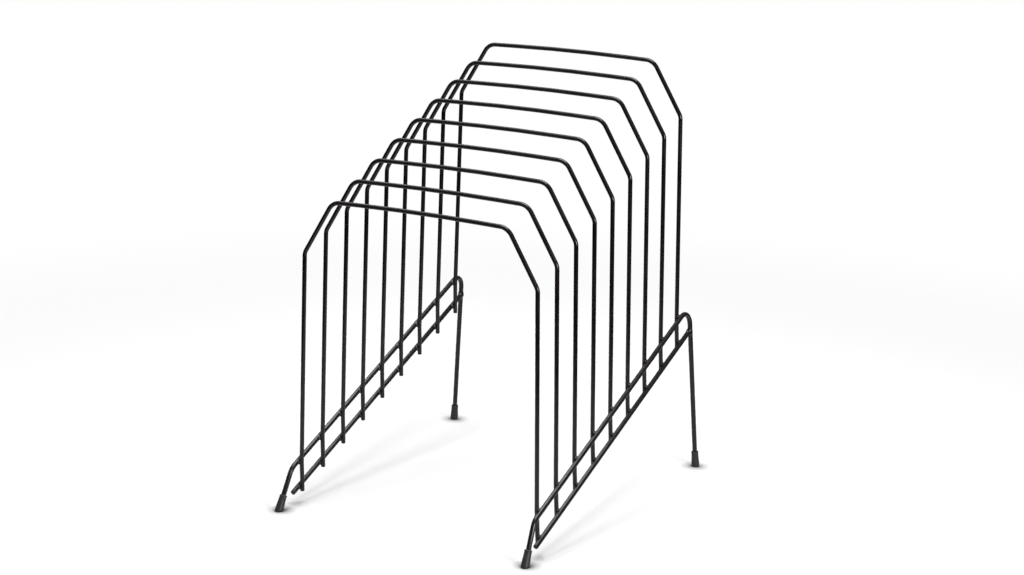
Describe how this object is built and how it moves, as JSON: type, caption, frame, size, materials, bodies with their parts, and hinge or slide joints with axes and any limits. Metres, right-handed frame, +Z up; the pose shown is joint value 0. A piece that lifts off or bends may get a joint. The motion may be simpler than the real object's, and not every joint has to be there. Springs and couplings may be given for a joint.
{
  "type": "wire file sorter",
  "caption": "Free-standing desktop file sorter of black welded wire: upright hoops step up and back along inclined side rails, on short legs with rubber-capped feet.",
  "frame": {"origin": "on the desk, at the centre of the bounding box's footprint, midway between the feet", "axes": "+X to the sorter's right, +Y to its back where the hoops stand highest, +Z up"},
  "size_m": [0.2274, 0.266, 0.3215],
  "materials": {
    "enamelled_wire": "gloss black enamel over drawn steel wire",
    "foot_cap": "satin soft vinyl, near black"
  },
  "bodies": {
    "root": {"divider_hoop_1": "enamelled_wire", "divider_hoop_2": "enamelled_wire", "divider_hoop_3": "enamelled_wire", "divider_hoop_4": "enamelled_wire", "divider_hoop_5": "enamelled_wire", "divider_hoop_6": "enamelled_wire", "divider_hoop_7": "enamelled_wire", "divider_hoop_8": "enamelled_wire", "divider_hoop_9": "enamelled_wire", "side_frame_left": "enamelled_wire", "side_frame_right": "enamelled_wire", "lower_rail_left": "enamelled_wire", "lower_rail_right": "enamelled_wire", "upper_rail_welds_left": "enamelled_wire", "upper_rail_welds_right": "enamelled_wire", "lower_rail_welds_left": "enamelled_wire", "lower_rail_welds_right": "enamelled_wire", "rear_leg_weld_left": "enamelled_wire", "rear_leg_weld_right": "enamelled_wire", "foot_cap_front_left": "foot_cap", "foot_cap_front_right": "foot_cap", "foot_cap_rear_left": "foot_cap", "foot_cap_rear_right": "foot_cap"}
  },
  "joints": []
}
